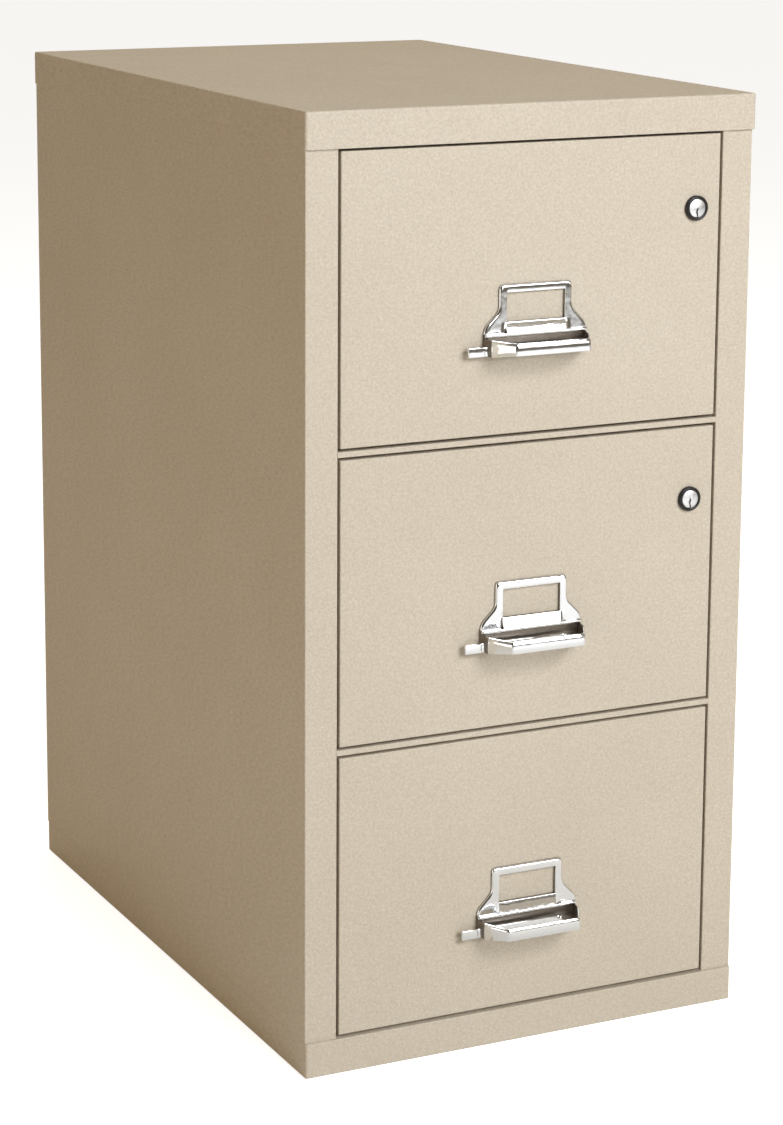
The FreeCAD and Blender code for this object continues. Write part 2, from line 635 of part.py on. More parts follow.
def grip_plan(inset, z):
    """The strap's plan, seen from above: straight back parts, then sides that draw in to the front."""
    root = PLATE_HALF_BOTTOM - inset
    shoulder = PLATE_HALF_BOTTOM - GRIP_DRAW_IN - inset
    front = GRIP_HALF_FRONT - inset
    depth = GRIP_DEPTH - inset
    right = [vec(root, FRONT_Y, z), vec(shoulder, head_y(-GRIP_STRAIGHT), z), vec(front, head_y(-depth), z)]
    left = [vec(-p.x, p.y, p.z) for p in reversed(right)]
    return polygon_edges(right + left)


def grip_strap(k):
    """An open-topped U on the plate's lower edge, lower at the root than at the front bar."""
    top = plate_z(k, GRIP_TOP)
    low = plate_z(k, GRIP_REAR_BOTTOM)
    height = top - low
    outer = extrude_outline(grip_plan(0, low), vec(0, 0, height))
    outer = outer.makeFillet(GRIP_CORNER, straight_edges(outer, 2, near(1, head_y(-GRIP_DEPTH))))
    inner = extrude_outline(grip_plan(GRIP_WALL, low - OVERCUT), vec(0, 0, height + 2 * OVERCUT))
    strap = outer.cut(inner)
    step = low + GRIP_REAR_BOTTOM - GRIP_FRONT_BOTTOM
    start = head_y(-GRIP_STRAIGHT)
    end = head_y(-GRIP_DEPTH)
    beyond = end - OVERCUT
    side = PLATE_HALF_BOTTOM + OVERCUT
    under = [vec(-side, start, low), vec(-side, end, step), vec(-side, beyond, step),
             vec(-side, beyond, low - OVERCUT), vec(-side, start, low - OVERCUT)]
    return strap.cut(extrude_outline(polygon_edges(under), vec(2 * side, 0, 0)))


def handle_plate(k):
    """The flat part with the label window in it."""
    top = plate_z(k, 0)
    face_y = head_y(-PLATE_THICKNESS)
    plate = extrude_outline(plate_outline(top, face_y), vec(0, PLATE_THICKNESS, 0))
    rim = [edge for edge in plate.Edges if max(v.Point.y for v in edge.Vertexes) < face_y + NEAR]
    plate = plate.makeFillet(PLATE_EDGE_ROUND, rim)
    return plate.cut(box(-WINDOW_WIDTH / 2, WINDOW_WIDTH / 2, face_y - OVERCUT, FRONT_Y + OVERCUT,
                         top - WINDOW_DROP - WINDOW_HEIGHT, top - WINDOW_DROP))


def handle_lip(k):
    """The bead along the plate's foot."""
    low = plate_z(k, PLATE_HEIGHT)
    face_y = head_y(-LIP_DEPTH)
    lip = box(-PLATE_HALF_BOTTOM, PLATE_HALF_BOTTOM, face_y, FRONT_Y, low, low + LIP_HEIGHT)
    return lip.makeFillet(LIP_ROUND, straight_edges(lip, 0, near(1, face_y)))


def handle(k):
    """One casting: plate, lip, a back wall under them, two cheeks and the pull strap."""
    foot = plate_z(k, PLATE_HEIGHT)
    low = plate_z(k, GRIP_REAR_BOTTOM)
    back = box(-PLATE_HALF_BOTTOM, PLATE_HALF_BOTTOM, head_y(-BACK_PLATE), FRONT_Y, low, foot)
    cheek = box(-PLATE_HALF_BOTTOM, -PLATE_HALF_BOTTOM + GRIP_WALL, head_y(-CHEEK_DEPTH), FRONT_Y,
                plate_z(k, GRIP_TOP) - OVERCUT, foot)
    body = handle_plate(k).fuse([handle_lip(k), back, grip_strap(k), cheek, mirrored(cheek)])
    body = body.removeSplitter()
    body = body.cut(latch_slot(k, head_y(-CHEEK_DEPTH - OVERCUT), FRONT_Y + OVERCUT))
    notch = box(-PLATE_HALF_BOTTOM - OVERCUT, -PLATE_HALF_BOTTOM + NOTCH_LENGTH,
                head_y(-NOTCH_DEPTHS[1]), head_y(-NOTCH_DEPTHS[0]),
                plate_z(k, NOTCH_LOW), plate_z(k, NOTCH_TOP))
    body = body.cut(notch)
    hole_end = head_y(-SCREW_REACH - SHEET_FIT)
    for x, screw_z in handle_screw_places(k):
        body = body.cut(rod_y(x, screw_z, SCREW_RADIUS, hole_end, FRONT_Y + OVERCUT))
    return body


def handle_screws(k):
    """Two screws driven from inside the pan into the handle's back."""
    screws = []
    for x, z in handle_screw_places(k):
        head = rod_y(x, z, SCREW_HEAD_RADIUS, head_y(OUTER_SHEET), head_y(OUTER_SHEET + SCREW_HEAD_HEIGHT))
        shank = rod_y(x, z, SCREW_RADIUS, head_y(-SCREW_REACH), head_y(OUTER_SHEET))
        screws.append(head.fuse(shank))
    return group(screws)


def thumb_latch(k):
    """The slide behind the grip, its thumb tab at the left, and the stud that reaches into the head."""
    z = plate_z(k, LATCH_DROP)
    face_y, back_y = (head_y(depth) for depth in THUMB_BAR)
    bar = box(THUMB_BAR_X[0], THUMB_BAR_X[1], face_y, back_y, z - THUMB_BAR_HALF, z + THUMB_BAR_HALF)
    tab = box(THUMB_TAB_X[0], THUMB_TAB_X[1], face_y - THUMB_TAB_PROUD, back_y,
              z - THUMB_TAB_HALF, z + THUMB_TAB_HALF)
    tab = tab.makeFillet(THUMB_TAB_ROUND, straight_edges(tab, 1, near(0, THUMB_TAB_X[0])))
    stud = rod_y(0, z, STUD_RADIUS, back_y - OVERCUT, head_y(CATCH_BAR[1]))
    return bar.fuse([tab, stud])


def latch_bolt(k):
    """The flat bar inside the head, from the stud to the catch at the drawer's left edge."""
    z = plate_z(k, LATCH_DROP)
    face_y, back_y = (head_y(depth) for depth in CATCH_BAR)
    bar = box(CATCH_TIP_X, CATCH_END_X, face_y, back_y, z - CATCH_HALF, z + CATCH_HALF)
    low = z - CATCH_HALF - OVERCUT
    bevel_length, bevel_land = CATCH_BEVEL
    corner = [vec(CATCH_TIP_X - OVERCUT, back_y + OVERCUT, low),
              vec(CATCH_TIP_X + bevel_length, back_y + OVERCUT, low),
              vec(CATCH_TIP_X - OVERCUT, face_y + bevel_land, low)]
    bar = bar.cut(extrude_outline(polygon_edges(corner), vec(0, 0, 2 * (CATCH_HALF + OVERCUT))))
    return bar.cut(rod_y(0, z, STUD_RADIUS + STUD_FIT, face_y - OVERCUT, back_y + OVERCUT))


def latch_spring(k):
    """A coil spring between the bolt's end and the end of the channel in the head."""
    start = CATCH_END_X + SPRING_END_MARGIN
    length = SPRING_STOP_X - start - SPRING_END_MARGIN
    helix = Part.makeHelix(length / SPRING_TURNS, length, SPRING_COIL_RADIUS)
    section = Part.makeCircle(SPRING_WIRE_RADIUS, vec(SPRING_COIL_RADIUS, 0, 0), vec(0, 1, 0))
    coil = Part.Wire(helix).makePipeShell([Part.Wire([section])], True, True)
    coil.rotate(vec(0, 0, 0), vec(0, 1, 0), 90)
    coil.translate(vec(start, head_y(sum(CATCH_BAR) / 2), plate_z(k, LATCH_DROP)))
    return coil


# ---- lock ---------------------------------------------------------------------------------------
def lock_centre(k):
    return drawer_centre(k) + LOCK_RISE


def lock_housing(k):
    """The bezel on the drawer's face and the barrel that goes through the pan."""
    z = lock_centre(k)
    bezel = rod_y(LOCK_X, z, BEZEL_RADIUS, head_y(-BEZEL_PROUD), FRONT_Y)
    front_rim = [edge for edge in bezel.Edges
                 if isinstance(edge.Curve, Part.Circle) and edge.Curve.Center.y < head_y(-BEZEL_PROUD) + NEAR]
    bezel = bezel.makeFillet(BEZEL_ROUND, front_rim)
    barrel = rod_y(LOCK_X, z, BARREL_RADIUS, FRONT_Y - OVERCUT, head_y(BARREL_DEPTH))
    bore = rod_y(LOCK_X, z, PLUG_RADIUS + PLUG_FIT,
                 head_y(-BEZEL_PROUD - OVERCUT), head_y(BARREL_DEPTH + OVERCUT))
    return bezel.fuse(barrel).removeSplitter().cut(bore)


def lock_plug(k):
    """The part that the key turns: a face with a keyway from its middle to its lower edge."""
    z = lock_centre(k)
    plug = rod_y(LOCK_X, z, PLUG_RADIUS, head_y(-PLUG_PROUD), head_y(PLUG_DEPTH))
    tail = rod_y(LOCK_X, z, TAIL_RADIUS, head_y(BARREL_DEPTH), head_y(TAIL_DEPTH))
    cam = rod_y(LOCK_X, z, CAM_RADIUS, head_y(CAM_DEPTHS[0]), head_y(CAM_DEPTHS[1]))
    keyway = box(LOCK_X - KEYWAY_HALF, LOCK_X + KEYWAY_HALF,
                 head_y(-PLUG_PROUD - OVERCUT), head_y(KEYWAY_DEPTH),
                 z - PLUG_RADIUS - OVERCUT, z + KEYWAY_TOP)
    return plug.fuse([tail, cam]).removeSplitter().cut(keyway)


def lock_bolt(k):
    """A plate with a long hole round the plug's tail, and a nose that enters the jamb's slot."""
    z = lock_centre(k)
    hole_half = TAIL_RADIUS + BOLT_SLACK
    hole_start = LOCK_X - hole_half - BOLT_TRAVEL
    y0, y1 = (head_y(depth) for depth in BOLT_DEPTH)
    plate = box(hole_start - BOLT_END, BOLT_SHOULDER_X, y0, y1, z - BOLT_HALF, z + BOLT_HALF)
    nose = box(BOLT_SHOULDER_X - OVERCUT, BOLT_NOSE_X, y0, y1, z - BOLT_NOSE_HALF, z + BOLT_NOSE_HALF)
    hole = box(hole_start, LOCK_X + hole_half, y0 - OVERCUT, y1 + OVERCUT, z - hole_half, z + hole_half)
    return plate.fuse(nose).removeSplitter().cut(hole)


# ---- write every piece --------------------------------------------------------------------------
def write_shell():
    lock_heights = [lock_centre(k) for k in LOCKED_DRAWERS]
    catch_heights = [plate_z(k, LATCH_DROP) for k in range(1, DRAWER_COUNT + 1)]
    bolt_depth = sum(BOLT_DEPTH) / 2
    catch_depth = sum(CATCH_BAR) / 2
    right = right_side_panel()
    for z in lock_heights:
        right = right.cut(jamb_slot(z, bolt_depth, BOLT_SLOT_HALF))
    left = right_side_panel()
    for z in catch_heights:
        left = left.cut(jamb_slot(z, catch_depth, CATCH_SLOT_HALF))
    save("right_side_panel", right)
    save("left_side_panel", mirrored(left))
    save("back_panel", back_panel())
    save("top_cap", top_cap())
    save("base_pan", base_pan())
    save("header_rail", header_rail())
    save("divider_rails", divider_rails())
    save("right_insulation", side_insulation_right(lock_heights))
    save("left_insulation", mirrored(side_insulation_right([])))
    save("back_insulation", back_insulation())
    save("top_insulation", top_insulation())
    save("bottom_insulation", bottom_insulation())
    save("divider_insulation", divider_insulation())
    save("cabinet_slides", cabinet_slides())


def write_drawer(k):
    makers = {
        "compartment_liner": compartment_liner,
        "front_pan": front_pan,
        "front_insulation": front_insulation,
        "inner_front": inner_front,
        "tray": tray,
        "drawer_slides": drawer_slides,
        "slide_rails": slide_rails,
        "handle": handle,
        "handle_screws": handle_screws,
        "thumb_latch": thumb_latch,
        "latch_bolt": latch_bolt,
        "latch_spring": latch_spring,
        "follower": follower,
    }
    if k in LOCKED_DRAWERS:
        makers["lock_housing"] = lock_housing
        makers["lock_plug"] = lock_plug
        makers["lock_bolt"] = lock_bolt
    for name, make in makers.items():
        save(name + "_" + str(k), make(k))


write_shell()
for number in range(1, DRAWER_COUNT + 1):
    write_drawer(number)
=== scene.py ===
import json
import math

import bmesh
import bpy
from mathutils import Matrix, Vector


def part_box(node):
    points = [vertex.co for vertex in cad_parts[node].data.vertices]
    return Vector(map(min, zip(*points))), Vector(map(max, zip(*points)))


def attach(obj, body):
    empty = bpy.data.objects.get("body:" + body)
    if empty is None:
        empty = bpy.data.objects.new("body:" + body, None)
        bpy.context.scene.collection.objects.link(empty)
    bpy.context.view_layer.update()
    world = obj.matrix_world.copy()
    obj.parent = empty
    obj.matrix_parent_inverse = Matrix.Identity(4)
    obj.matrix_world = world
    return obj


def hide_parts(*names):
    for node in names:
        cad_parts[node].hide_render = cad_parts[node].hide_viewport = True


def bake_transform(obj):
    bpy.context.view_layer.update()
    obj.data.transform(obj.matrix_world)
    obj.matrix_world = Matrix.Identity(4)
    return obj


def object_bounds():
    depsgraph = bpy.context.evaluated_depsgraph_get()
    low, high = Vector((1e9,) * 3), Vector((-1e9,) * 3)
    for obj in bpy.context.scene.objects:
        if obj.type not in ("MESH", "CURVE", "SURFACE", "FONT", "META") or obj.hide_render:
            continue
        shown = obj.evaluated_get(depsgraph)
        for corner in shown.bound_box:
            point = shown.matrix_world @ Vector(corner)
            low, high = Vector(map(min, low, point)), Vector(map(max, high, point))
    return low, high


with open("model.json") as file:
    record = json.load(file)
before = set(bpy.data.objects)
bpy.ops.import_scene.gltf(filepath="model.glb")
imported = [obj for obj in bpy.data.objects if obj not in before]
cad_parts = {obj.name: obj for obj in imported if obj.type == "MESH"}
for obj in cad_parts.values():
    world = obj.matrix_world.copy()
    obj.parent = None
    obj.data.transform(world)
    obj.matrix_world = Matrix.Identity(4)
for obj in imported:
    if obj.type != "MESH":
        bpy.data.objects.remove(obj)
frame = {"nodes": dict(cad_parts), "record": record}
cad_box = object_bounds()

# The looks of an insulated three-drawer filing cabinet, in metres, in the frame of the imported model:
# +Z up, the drawers face -Y, and +X is to the right of someone who stands in front.
MM = 0.001
DRAWERS = (1, 2, 3)
LOCKED_DRAWERS = (1, 2)
FRONT_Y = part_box("front_pan_1")[0].y


# ---- node helpers -------------------------------------------------------------------------------
def new_material(name):
    """An empty material with a Principled shader, and its tree, shader and object coordinates."""
    material = bpy.data.materials.new(name)
    material.use_nodes = True
    tree = material.node_tree
    tree.nodes.clear()
    output = tree.nodes.new("ShaderNodeOutputMaterial")
    shader = tree.nodes.new("ShaderNodeBsdfPrincipled")
    tree.links.new(shader.outputs["BSDF"], output.inputs["Surface"])
    place = tree.nodes.new("ShaderNodeTexCoord").outputs["Object"]
    return material, tree, shader, place


def stretched(tree, place, scale):
    """The coordinates scaled apart along X, Y and Z."""
    mapping = tree.nodes.new("ShaderNodeMapping")
    mapping.inputs["Scale"].default_value = scale
    tree.links.new(place, mapping.inputs["Vector"])
    return mapping.outputs["Vector"]


def noise(tree, place, size, detail=2.0, roughness=0.5):
    """A cloudy pattern from 0 to 1 whose blobs are about size metres wide."""
    node = tree.nodes.new("ShaderNodeTexNoise")
    node.inputs["Scale"].default_value = 1.0 / size
    node.inputs["Detail"].default_value = detail
    node.inputs["Roughness"].default_value = roughness
    tree.links.new(place, node.inputs["Vector"])
    return node.outputs["Fac"]


def cells(tree, place, size):
    """Cells round scattered points about size metres apart: their distances and random colours."""
    node = tree.nodes.new("ShaderNodeTexVoronoi")
    node.inputs["Scale"].default_value = 1.0 / size
    tree.links.new(place, node.inputs["Vector"])
    return node


def spread(tree, value, low, high, out_low, out_high):
    """The value's span from low to high mapped to out_low to out_high, and held beyond it."""
    node = tree.nodes.new("ShaderNodeMapRange")
    limits = {"From Min": low, "From Max": high, "To Min": out_low, "To Max": out_high}
    for name, number in limits.items():
        node.inputs[name].default_value = number
    tree.links.new(value, node.inputs["Value"])
    return node.outputs["Result"]


def blend_colours(tree, factor, first, second):
    """A mix of two colours, each a colour or an output, by a factor."""
    node = tree.nodes.new("ShaderNodeMix")
    node.data_type = "RGBA"
    tree.links.new(factor, node.inputs["Factor"])
    for socket, colour in ((node.inputs["A"], first), (node.inputs["B"], second)):
        if isinstance(colour, bpy.types.NodeSocket):
            tree.links.new(colour, socket)
        else:
            socket.default_value = (*colour, 1.0)
    return node.outputs["Result"]


def bump(tree, shader, height, distance, strength, under=None):
    """Bump the surface by a height pattern distance metres deep, over an earlier bump if one is given."""
    node = tree.nodes.new("ShaderNodeBump")
    node.inputs["Strength"].default_value = strength
    node.inputs["Distance"].default_value = distance
    tree.links.new(height, node.inputs["Height"])
    if under is not None:
        tree.links.new(under, node.inputs["Normal"])
    tree.links.new(node.outputs["Normal"], shader.inputs["Normal"])
    return node.outputs["Normal"]


# ---- materials ----------------------------------------------------------------------------------
BRUSH_SQUEEZE = (1.0, 0.3, 1.0)
SLIDE_SQUEEZE = (1.0, 0.03, 1.0)
POLISH_SQUEEZE = (0.06, 1.0, 1.0)
CHALK_PALE = (0.66, 0.64, 0.59)
CHALK_DEEP = (0.50, 0.48, 0.43)
ZINC_DARK = (0.56, 0.57, 0.57)
ZINC_BRIGHT = (0.70, 0.71, 0.70)
CHROME_BRIGHT = (0.90, 0.905, 0.91)
CHROME_HAZE = (0.82, 0.825, 0.83)
# Painted shade: the two dark browns of the dull plating stand for the shade in the handle's hollows and along
# its walls.
DULL_SHADE_PALE = (0.30, 0.26, 0.22)
DULL_SHADE_DEEP = (0.17, 0.145, 0.12)
ENAMEL_BLACK = (0.006, 0.004, 0.003)
ENAMEL_WORN = (0.03, 0.02, 0.014)


def powder_coat(name, pale, deep, fleck, roughness):
    """Baked powder paint: a fine orange peel, slow shade changes and sparse dark flecks."""
    material, tree, shader, place = new_material(name)
    clouds = noise(tree, place, size=0.16, detail=3.0)
    body = blend_colours(tree, spread(tree, clouds, 0.3, 0.7, 0.0, 1.0), pale, deep)
    drawn = stretched(tree, place, BRUSH_SQUEEZE)
    grain = noise(tree, drawn, size=0.0026, roughness=0.6)
    grained = blend_colours(tree, spread(tree, grain, 0.32, 0.72, 0.0, 0.45), body, fleck)
    specks = cells(tree, drawn, size=0.0042).outputs["Distance"]
    flecked = blend_colours(tree, spread(tree, specks, 0.10, 0.22, 0.35, 0.0), grained, fleck)
    tree.links.new(flecked, shader.inputs["Base Color"])
    smudges = noise(tree, place, size=0.05, detail=4.0)
    haze = spread(tree, smudges, 0.25, 0.75, roughness - 0.05, roughness + 0.06)
    tree.links.new(haze, shader.inputs["Roughness"])
    shader.inputs["Specular IOR Level"].default_value = 0.45
    peel = noise(tree, place, size=0.0024, detail=1.5, roughness=0.45)
    bump(tree, shader, peel, distance=0.4 * MM, strength=0.6)
    return material


def mineral():
    """Cast insulation: chalky, mottled and pitted."""
    material, tree, shader, place = new_material("cast_mineral")
    mottle = spread(tree, noise(tree, place, size=0.03, detail=5.0, roughness=0.6), 0.3, 0.7, 0.0, 1.0)
    colour = blend_colours(tree, mottle, CHALK_PALE, CHALK_DEEP)
    tree.links.new(colour, shader.inputs["Base Color"])
    shader.inputs["Roughness"].default_value = 0.95
    pits = spread(tree, cells(tree, place, size=0.006).outputs["Distance"], 0.0, 0.3, 0.0, 1.0)
    pitted = bump(tree, shader, pits, distance=0.8 * MM, strength=0.7)
    chalk = noise(tree, place, size=0.0015, detail=3.0)
    bump(tree, shader, chalk, distance=0.4 * MM, strength=0.6, under=pitted)
    return material


def zinc():
    """Zinc-plated steel: cloudy crystals and drawn streaks along the slides."""
    material, tree, shader, place = new_material("zinc_plate")
    patches = cells(tree, place, size=0.011).outputs["Color"]
    shade = tree.nodes.new("ShaderNodeRGBToBW")
    tree.links.new(patches, shade.inputs["Color"])
    colour = blend_colours(tree, shade.outputs["Val"], ZINC_DARK, ZINC_BRIGHT)
    tree.links.new(colour, shader.inputs["Base Color"])
    shader.inputs["Metallic"].default_value = 1.0
    streaks = noise(tree, stretched(tree, place, SLIDE_SQUEEZE), size=0.0015, detail=3.0)
    tree.links.new(spread(tree, streaks, 0.3, 0.7, 0.28, 0.46), shader.inputs["Roughness"])
    bump(tree, shader, streaks, distance=0.06 * MM, strength=0.5)
    return material


def chrome(name, roughness, waviness):
    """Chrome over a casting: long soft waves, faint haze and hairlines."""
    material, tree, shader, place = new_material(name)
    haze = noise(tree, place, size=0.012, detail=3.0)
    colour = blend_colours(tree, haze, CHROME_BRIGHT, CHROME_HAZE)
    tree.links.new(colour, shader.inputs["Base Color"])
    shader.inputs["Metallic"].default_value = 1.0
    hairs = noise(tree, stretched(tree, place, POLISH_SQUEEZE), size=0.0006)
    tree.links.new(spread(tree, hairs, 0.35, 0.8, roughness, roughness + 0.07), shader.inputs["Roughness"])
    waves = noise(tree, place, size=0.009, detail=1.0)
    bump(tree, shader, waves, distance=0.3 * MM, strength=waviness)
    return material


def shaded_dull_chrome():
    """Rough, unpolished plating for the hollow behind the grip, the plate's rim walls and the grip's root;
    its dark brown colour is painted shade.
    """
    material, tree, shader, place = new_material("shaded_dull_chrome")
    # A random mottle between the two painted shade browns, which also sets the roughness.
    shade_mottle = noise(tree, place, size=0.006, detail=4.0, roughness=0.6)
    colour = blend_colours(tree, shade_mottle, DULL_SHADE_PALE, DULL_SHADE_DEEP)
    tree.links.new(colour, shader.inputs["Base Color"])
    shader.inputs["Metallic"].default_value = 1.0
    tree.links.new(spread(tree, shade_mottle, 0.3, 0.7, 0.34, 0.5), shader.inputs["Roughness"])
    bump(tree, shader, noise(tree, place, size=0.0012), distance=0.2 * MM, strength=0.5)
    return material


def enamel():
    """Near-black gloss enamel with a few worn spots."""
    material, tree, shader, place = new_material("black_enamel")
    wear = noise(tree, place, size=0.004, detail=4.0, roughness=0.7)
    worn = spread(tree, wear, 0.55, 0.8, 0.0, 1.0)
    colour = blend_colours(tree, worn, ENAMEL_BLACK, ENAMEL_WORN)
    tree.links.new(colour, shader.inputs["Base Color"])
    tree.links.new(spread(tree, wear, 0.3, 0.8, 0.22, 0.42), shader.inputs["Roughness"])
    bump(tree, shader, noise(tree, place, size=0.001), distance=0.08 * MM, strength=0.4)
    return material


MATERIALS = {
    "cabinet_paint": powder_coat(
        "putty_powder_coat", pale=(0.615, 0.543, 0.440), deep=(0.59, 0.518, 0.415),
        fleck=(0.355, 0.29, 0.22), roughness=0.42,
    ),
    "inner_paint": powder_coat(
        "inner_coat", pale=(0.49, 0.415, 0.315), deep=(0.46, 0.385, 0.29),
        fleck=(0.30, 0.24, 0.17), roughness=0.5,
    ),
    "mineral_insulation": mineral(),
    "zinc_steel": zinc(),
    "chrome": chrome("polished_chrome", roughness=0.035, waviness=0.35),
    "lock_bezel": enamel(),
    "lock_face": chrome("lock_chrome", roughness=0.27, waviness=0.12),
}
# The dull plating, dark with painted shade.
SHADED_DULL_CHROME = shaded_dull_chrome()


def dress_nodes():
    """Give every CAD node the material of its slot."""
    for part in frame["record"]["subparts"]:
        node = frame["nodes"][part["node"]]
        for place in node.material_slots:
            place.material = MATERIALS[part["material_slot"]]


# ---- mesh helpers -------------------------------------------------------------------------------
def add_piece(name, mesh, slot, body, *nodes, sharp_angle=40.0, finishes=()):
    """A finished mesh as a piece that stands for CAD nodes, smooth but for its sharp edges.

    A piece without a body is attached to none.
    """
    mesh.normal_update()
    bmesh.ops.recalc_face_normals(mesh, faces=mesh.faces[:])
    data = bpy.data.meshes.new(name)
    mesh.to_mesh(data)
    mesh.free()
    data.shade_smooth()
    data.set_sharp_from_angle(angle=math.radians(sharp_angle))
    for material in finishes or (MATERIALS[slot],):
        data.materials.append(material)
    piece = bpy.data.objects.new(name, data)
    bpy.context.scene.collection.objects.link(piece)
    if body is not None:
        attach(piece, body)
    if nodes:
        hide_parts(*nodes)
    return piece


def grid_faces(mesh, rows, closed=False, keep=None, finish=0):
    """Quads between neighbouring rows of vertices, closed around each row if asked."""
    for i in range(len(rows) - 1):
        count = len(rows[i]) if closed else len(rows[i]) - 1
        for j in range(count):
            if keep is not None and not keep(i, j):
                continue
            n = (j + 1) % len(rows[i])
            face = mesh.faces.new((rows[i][j], rows[i][n], rows[i + 1][n], rows[i + 1][j]))
            face.material_index = finish


def rounded_block(mesh, x0, x1, y0, y1, z0, z1, radius, segments=3):
    """A block with every edge rounded, added to the mesh; sizes in metres."""
    part = bmesh.new()
    bmesh.ops.create_cube(part, size=1.0)
    for vertex in part.verts:
        vertex.co = Vector((
            x0 + (vertex.co.x + 0.5) * (x1 - x0),
            y0 + (vertex.co.y + 0.5) * (y1 - y0),
            z0 + (vertex.co.z + 0.5) * (z1 - z0),
        ))
    bmesh.ops.bevel(part, geom=part.edges[:], offset=radius, segments=segments, profile=0.5, affect="EDGES")
    join(mesh, part)


def join(mesh, part):
    """Move everything in part into mesh."""
    copies = {vertex: mesh.verts.new(vertex.co) for vertex in part.verts}
    for face in part.faces:
        mesh.faces.new([copies[vertex] for vertex in face.verts])
    part.free()


def lathe(mesh, profile, centre, steps):
    """Turn a closed profile round an axis along Y: its (radius, distance in front of the drawer) in mm."""
    angles = [math.tau * i / steps for i in range(steps)]
    rows = []
    for radius, proud in profile:
        y = FRONT_Y - proud * MM
        rows.append([
            mesh.verts.new((centre[0] + radius * MM * math.cos(a), y, centre[1] + radius * MM * math.sin(a)))
            for a in angles
        ])
    grid_faces(mesh, rows + rows[:1], closed=True)


# ---- handle -------------------------------------------------------------------------------------
PLATE_HALF_TOP = 42.8 * MM
PLATE_HALF_BOTTOM = 60.6 * MM
PLATE_PROUD = 4.0 * MM
PLATE_HEIGHT = 54.0 * MM
PLATE_CORNER = 4.0 * MM
PLATE_ROUND = 2.4 * MM
WINDOW_HALF = 34.3 * MM
WINDOW_TOP = 8.6 * MM
WINDOW_LOW = 39.2 * MM
WINDOW_ROUND = 0.7 * MM
WINDOW_COLUMNS = 14
WINDOW_ROWS = 24
BORDER_COLUMNS = 6
FLARE_START = 21.5 * MM
FLARE_HOLLOW = 14.0 * MM
FLARE_CREST = 16.0 * MM
FLARE_TURN = math.radians(45)
RAMP_START = 39.4 * MM
RAMP_END = 50.7 * MM
RAMP_RISE = 2.5 * MM
RAMP_SIDE = 5.0 * MM
RAMP_STRAIGHT = 0.8
RAMP_HOLLOW = 0.2
RAMP_ROWS = 16
LIP_PROUD = 6.3 * MM
LIP_BEAD = 1.2 * MM
LIP_POWER = 0.35
LIP_ROWS = 12
THINNEST = 0.5 * MM
EDGE_LADDER = (0.0, 0.03, 0.12, 0.26, 0.45, 0.7, 1.0)
GRIP_TOP = 55.7 * MM
GRIP_LOW_REAR = 73.3 * MM
GRIP_LOW_FRONT = 69.0 * MM
GRIP_WALL = 2.6 * MM
GRIP_BEND = 16.0 * MM
GRIP_PROUD = 43.6 * MM
GRIP_HALF_FRONT = 43.6 * MM
GRIP_CORNER = 4.4 * MM
GRIP_LEAN = 2.0 * MM
GRIP_ROOT_CORNER = 14.0 * MM
GRIP_STEP = 4.0 * MM
GRIP_INSIDE = 12.0 * MM
ROOT_RISE = 2.4 * MM
ROOT_RUN = 9.0 * MM
WING_BULGE = 0.25 * MM
WING_LEAST_RISE = 10.0 * MM
WING_LEAST_LENGTH = 20.0 * MM
STRAP_CROWN = 0.30 * MM
STRAP_EDGE = 0.7 * MM
STRAP_RIM = 2.9 * MM
STRAP_GROOVE = 0.3 * MM
STRAP_BEVEL = ((0.45 * MM, 0.7 * MM), (0.75 * MM, 0.14 * MM), (1.2 * MM, 0.0))
STRAP_ROWS = 12
ROUND_STEPS = 4
BRIGHT = 0
# The index of the dull plating, whose dark colour is painted shade.
DULL = 1
BACK_PROUD = 2.0 * MM
BACK_ROUND = 0.35 * MM
BACK_LAP = 0.4 * MM
LIP_LAP = 1.0 * MM
SLOT_HALF = 3.6 * MM
SLOT_ENDS = (-3.6 * MM, 12.6 * MM)
LATCH_DROP = 68.0 * MM


def smooth(value):
    """An S-curve from 0 to 1."""
    t = min(max(value, 0.0), 1.0)
    return t * t * (3.0 - 2.0 * t)


def arch(share):
    """A parabola that is 0 at both ends of a span and 1 in its middle."""
    return 4.0 * share * (1.0 - share)


def half_width(drop):
    """The plate's half width at a distance below its top, and how fast it grows there."""
    hollow_out = FLARE_HOLLOW * (1.0 - math.cos(FLARE_TURN))
    hollow_down = FLARE_HOLLOW * math.sin(FLARE_TURN)
    crest_out = FLARE_CREST * (1.0 - math.cos(FLARE_TURN))
    crest_down = FLARE_CREST * math.sin(FLARE_TURN)
    slope = PLATE_HALF_BOTTOM - PLATE_HALF_TOP - hollow_out - crest_out
    fall = drop - FLARE_START
    if drop < PLATE_CORNER:
        up = PLATE_CORNER - drop
        return PLATE_HALF_TOP - PLATE_CORNER + math.sqrt(max(PLATE_CORNER ** 2 - up ** 2, 0.0)), 0.0
    if fall <= 0.0:
        return PLATE_HALF_TOP, 0.0
    if fall < hollow_down:
        root = math.sqrt(FLARE_HOLLOW ** 2 - fall ** 2)
        return PLATE_HALF_TOP + FLARE_HOLLOW - root, fall / root
    if fall < hollow_down + slope:
        return PLATE_HALF_TOP + hollow_out + fall - hollow_down, 1.0
    left = hollow_down + slope + crest_down - fall
    if left <= 0.0:
        return PLATE_HALF_BOTTOM, 0.0
    root = math.sqrt(FLARE_CREST ** 2 - left ** 2)
    return PLATE_HALF_BOTTOM - FLARE_CREST + root, left / root


def rounding(distance, radius):
    """How far a quarter-round edge falls back at a distance from the edge."""
    if distance >= radius:
        return 0.0
    return radius - math.sqrt(max(radius ** 2 - (radius - distance) ** 2, 0.0))


